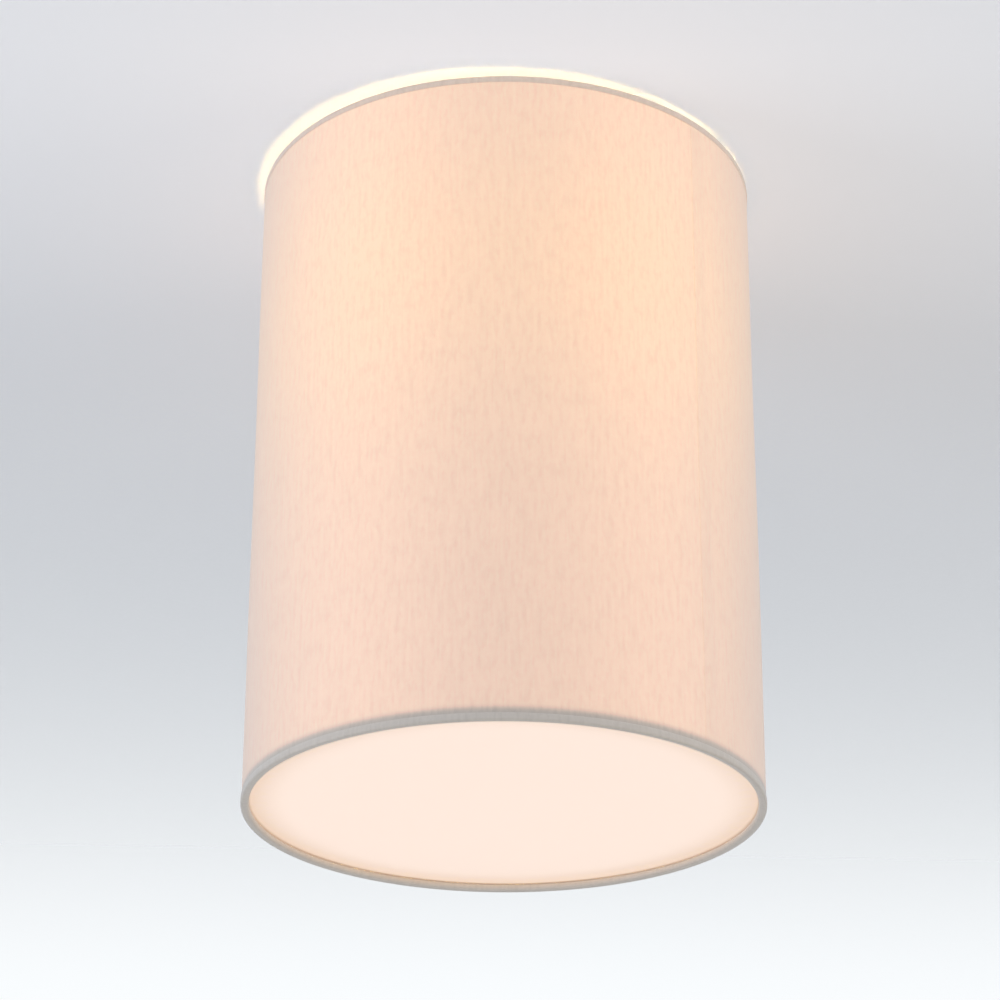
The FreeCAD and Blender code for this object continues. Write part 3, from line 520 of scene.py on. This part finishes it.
def opalAcrylic(name):
    # cast opal acrylic, satin: even light, warmer and dimmer towards the border, with a painted shadow of
    # the hem round its edge
    material, tree, shader = newSurface(
        name, {"IOR": 1.49, "Roughness": 0.42, "Emission Strength": disc["strength"]}
    )
    place = add(tree, "ShaderNodeTexCoord", out=3)
    flat = add(tree, "ShaderNodeVectorMath", {0: place, 1: (1, 1, 0)}, operation="MULTIPLY")
    radius = add(tree, "ShaderNodeVectorMath", {0: flat}, out=1, operation="LENGTH")
    seen = shade["ringRadius"] - shade["wire"] / 2 - shade["hemCloth"]
    span = {"Value": radius, "From Min": seen - disc["edgeWidth"], "From Max": seen}
    border = add(tree, "ShaderNodeMapRange", span, **smooth)
    # painted shadow: the disc's light dims to a dark line where it meets the hem
    span = {"From Min": seen + disc["cover"][0], "From Max": seen + disc["cover"][1]}
    span.update({"Value": radius, "To Min": 1.0, "To Max": disc["covered"]})
    covered = add(tree, "ShaderNodeMapRange", span)
    pattern = grain(tree, disc["grain"])
    tones = {0: pattern, 6: linearColour(disc["colour"]), 7: linearColour(disc["cloud"])}
    tree.links.new(add(tree, "ShaderNodeMix", tones, **twoColours), shader.inputs["Base Color"])
    ends = {0: border, 6: linearColour(disc["middle"]), 7: linearColour(disc["edge"])}
    light = add(tree, "ShaderNodeMix", ends, **twoColours)
    even = add(tree, "ShaderNodeMapRange", {"Value": pattern, "To Min": 0.98, "To Max": 1.02})
    level = add(tree, "ShaderNodeMath", {0: even, 1: covered}, operation="MULTIPLY")
    glowing = add(tree, "ShaderNodeVectorMath", {0: light, 3: level}, operation="SCALE")
    tree.links.new(glowing, shader.inputs["Emission Color"])
    bump = add(tree, "ShaderNodeBump", {"Height": pattern, "Distance": 0.02 * mm, "Strength": 0.2})
    tree.links.new(bump, shader.inputs["Normal"])
    return material


def stripedLead(name):
    # the earth lead's soft PVC, green with yellow stripes a few millimetres wide, satin as drawn
    material, tree, shader = newSurface(name, {"Roughness": 0.4, "IOR": 1.53})
    place = add(tree, "ShaderNodeTexCoord", out=3)
    wave = add(
        tree,
        "ShaderNodeTexWave",
        {"Vector": place, "Scale": 1 / (16 * mm), "Distortion": 0.5},
        out=1,
        bands_direction="DIAGONAL",
    )
    stripe = add(tree, "ShaderNodeMapRange", {"Value": wave, "From Min": 0.45, "From Max": 0.55})
    tones = {0: stripe, 6: linearColour("4f8a2c"), 7: linearColour("e3cf3a")}
    colour = add(tree, "ShaderNodeMix", tones, **twoColours)
    tree.links.new(colour, shader.inputs["Base Color"])
    return material


wearers = {
    "zincPlatedSteel": "ceiling_bracket bracket_ears canopy_screws block_screw terminal_screws"
    " nipple_washer nipple_nut threaded_nipple",
    "whitePowderCoat": "canopy_pan spider_hub spider_arms top_ring_wire bottom_ring_wire",
    "whiteThermoplastic": "holder_cap holder_shell upper_shade_ring lower_shade_ring",
    "unglazedPorcelain": "holder_insert",
    "bareBrass": "holder_terminals centre_contact side_contact terminal_tubes earth_screw",
    "nickelPlate": "thread_sleeve bulb_cap_shell filament_supports",
    "tinnedCopper": "earth_lug",
    "tinSolder": "bulb_button",
    "whiteShadeFilm": "film_liner seam_tape",
    "naturalNylon": "terminal_block",
    "blackGlass": "bulb_insulator",
    "brownLead": "live_lead",
    "blueLead": "neutral_lead",
    "opalLampGlass": "bulb_globe",
    "clearGlass": "bulb_stem",
    "phosphorCoat": "led_filaments",
    "opalAcrylic": "diffuser_disc",
    "stripedLead": "earth_lead",
}
ownLooks = (opalLampGlass, clearGlass, phosphorCoat, opalAcrylic, stripedLead)
ownLooks = {look.__name__: look for look in ownLooks}
for look, names in wearers.items():
    material = finish(look, *finishes[look]) if look in finishes else ownLooks[look](look)
    for name in names.split():
        for slot in nodes[name].material_slots:
            slot.material = material
print("finishes made")

# ---- the ceiling and the floor, which are stage
stage = {
    "ceiling": "e1e5eb",
    "mottle": "dee2e8",
    "floor": "f2f2f0",
    "half": 6.0,
    "above": 0.75 * mm,  # so that the tilted ceiling clears the bracket
    "tilt": math.radians(0.85),  # the shade hangs a little out of level with the ceiling
    "floorDepth": 2.5,
    "fadeStart": 0.22,  # behind the lamp, where the ceiling starts to fade into the background
    "fadeEnd": 1.9,
    "glow": 0.39,  # the ceiling's own light in front of the lamp
    "glowBehind": 0.29,  # and behind it
    "glowStart": -0.15,  # between these two places the one goes over into the other
    "glowStop": 0.30,
    "mottleScale": 300.0,  # patches of the paint's two tones per metre
}


def stagePlane(name, height, facing, tilt=0.0):
    # a square at a height, facing up (1) or down (-1), lower towards +X by the tilt
    half = stage["half"]
    drop = half * math.tan(tilt)
    left, right = height + drop, height - drop
    corners = [(-half, -half, left), (half, -half, right), (half, half, right), (-half, half, left)]
    mesh = bpy.data.meshes.new(name)
    mesh.from_pydata(corners[::facing], [], [(0, 1, 2, 3)])
    plane = bpy.data.objects.new(name, mesh)
    bpy.context.scene.collection.objects.link(plane)
    return plane


def paintedPlaster():
    # painted plaster, seen from below only, that fades into the background far behind the lamp
    material, tree, shader = newSurface("paintedPlaster", {"Roughness": 0.9})
    place = add(tree, "ShaderNodeTexCoord", out=3)
    mottle = {"Vector": place, "Scale": stage["mottleScale"], "Detail": 3.0}
    noise = add(tree, "ShaderNodeTexNoise", mottle)
    tones = {0: noise, 6: linearColour(stage["ceiling"]), 7: linearColour(stage["mottle"])}
    colour = add(tree, "ShaderNodeMix", tones, **twoColours)
    tree.links.new(colour, shader.inputs["Base Color"])
    tree.links.new(colour, shader.inputs["Emission Color"])
    behind = add(tree, "ShaderNodeSeparateXYZ", {0: place}, out=1)
    span = {"From Min": stage["glowStart"], "From Max": stage["glowStop"]}
    span.update({"Value": behind, "To Min": stage["glow"], "To Max": stage["glowBehind"]})
    level = add(tree, "ShaderNodeMapRange", span, **smooth)
    tree.links.new(level, shader.inputs["Emission Strength"])
    span = {"Value": behind, "From Min": stage["fadeStart"], "From Max": stage["fadeEnd"]}
    fade = add(tree, "ShaderNodeMapRange", span, **smooth)
    above = add(tree, "ShaderNodeNewGeometry", out=6)
    clear = add(tree, "ShaderNodeMath", {0: fade, 1: above}, operation="MAXIMUM")
    air = add(tree, "ShaderNodeBsdfTransparent")
    mix = add(tree, "ShaderNodeMixShader", {0: clear, 1: shader.outputs[0], 2: air})
    tree.links.new(mix, tree.nodes["Material Output"].inputs["Surface"])
    return material


dress(stagePlane("ceilingStage", stage["above"], -1, stage["tilt"]), paintedPlaster())
floorPaint = newSurface("paleFloor", {"Roughness": 0.9, "Base Color": linearColour(stage["floor"])})[0]
dress(stagePlane("floorStage", -stage["floorDepth"], 1), floorPaint)

# ---- light: two soft windows, one at each side, and the lamp inside the drum
windows = {
    "azimuths": (-75, 75),
    "watts": (9.8, 7.9),
    "distance": 1.9,
    "below": 1.1,
    "aim": 0.2,  # below the ceiling, the height on the drum's axis that they face
    "width": 1.0,
    "height": 1.3,
    "colours": ("f0f1f6", "f6e5d0"),
}
insideLamp = {"watts": 38.0, "colour": "ffdc8e", "radius": 31 * mm}


def addLight(name, kind, matrix, watts, hexText, **settings):
    data = bpy.data.lights.new(name, kind)
    data.energy = watts
    data.color = linearColour(hexText)[:3]
    for key, value in settings.items():
        setattr(data, key, value)
    light = bpy.data.objects.new(name, data)
    light.matrix_world = matrix
    bpy.context.scene.collection.objects.link(light)


for azimuth, watts, tint in zip(windows["azimuths"], windows["watts"], windows["colours"]):
    turn = math.radians(azimuth)
    out = windows["distance"]
    spot = Matrix.Translation((out * math.sin(turn), -out * math.cos(turn), -windows["below"]))
    tilt = math.pi / 2 + math.atan2(windows["below"] - windows["aim"], out)
    aim = Matrix.Rotation(turn, 4, "Z") @ Matrix.Rotation(tilt, 4, "X")
    size = {"shape": "RECTANGLE", "size": windows["width"], "size_y": windows["height"]}
    addLight(f"window{azimuth}", "AREA", spot @ aim, watts, tint, **size)
globeMiddle = globeLow[2] + (globeHigh[0] - globeLow[0]) / 2
addLight(
    "lampInside",
    "POINT",
    Matrix.Translation((0, 0, globeMiddle)),
    insideLamp["watts"],
    insideLamp["colour"],
    shadow_soft_size=insideLamp["radius"],
)

# the room's own light is weak, and white only to the camera, glass and gloss
room = {"ambient": 0.22, "colour": "fafdff"}
world = bpy.data.worlds.new("paleRoom")
bpy.context.scene.world = world
world.use_nodes = True
tree = world.node_tree
path = add(tree, "ShaderNodeLightPath").node
seen = path.outputs["Is Camera Ray"]
for ray in ("Is Transmission Ray", "Is Glossy Ray"):
    seen = add(tree, "ShaderNodeMath", {0: seen, 1: path.outputs[ray]}, operation="MAXIMUM")
strength = add(tree, "ShaderNodeMapRange", {"Value": seen, "To Min": room["ambient"], "To Max": 1.0})
background = tree.nodes["Background"]
background.inputs["Color"].default_value = linearColour(room["colour"])
tree.links.new(strength, background.inputs["Strength"])
print("stage and light made")

# ---- camera, from the drum's perspective in the photograph
view = {
    "lens": 114.595,
    "inFront": 1.7308,
    "below": 1.0011,
    "pitch": 0.43015,
    "yaw": 0.00165,
    "roll": 0.00409,
}
cameraData = bpy.data.cameras.new("camera")
cameraData.lens = view["lens"]
cameraData.sensor_width = 36.0
camera = bpy.data.objects.new("camera", cameraData)
camera.matrix_world = (
    Matrix.Translation((0, -view["inFront"], -view["below"]))
    @ Matrix.Rotation(view["yaw"], 4, "Z")
    @ Matrix.Rotation(math.pi / 2 + view["pitch"], 4, "X")
    @ Matrix.Rotation(view["roll"], 4, "Z")
)
bpy.context.scene.collection.objects.link(camera)
bpy.context.scene.camera = camera
bpy.context.scene.view_settings.view_transform = "Standard"
print("camera made")
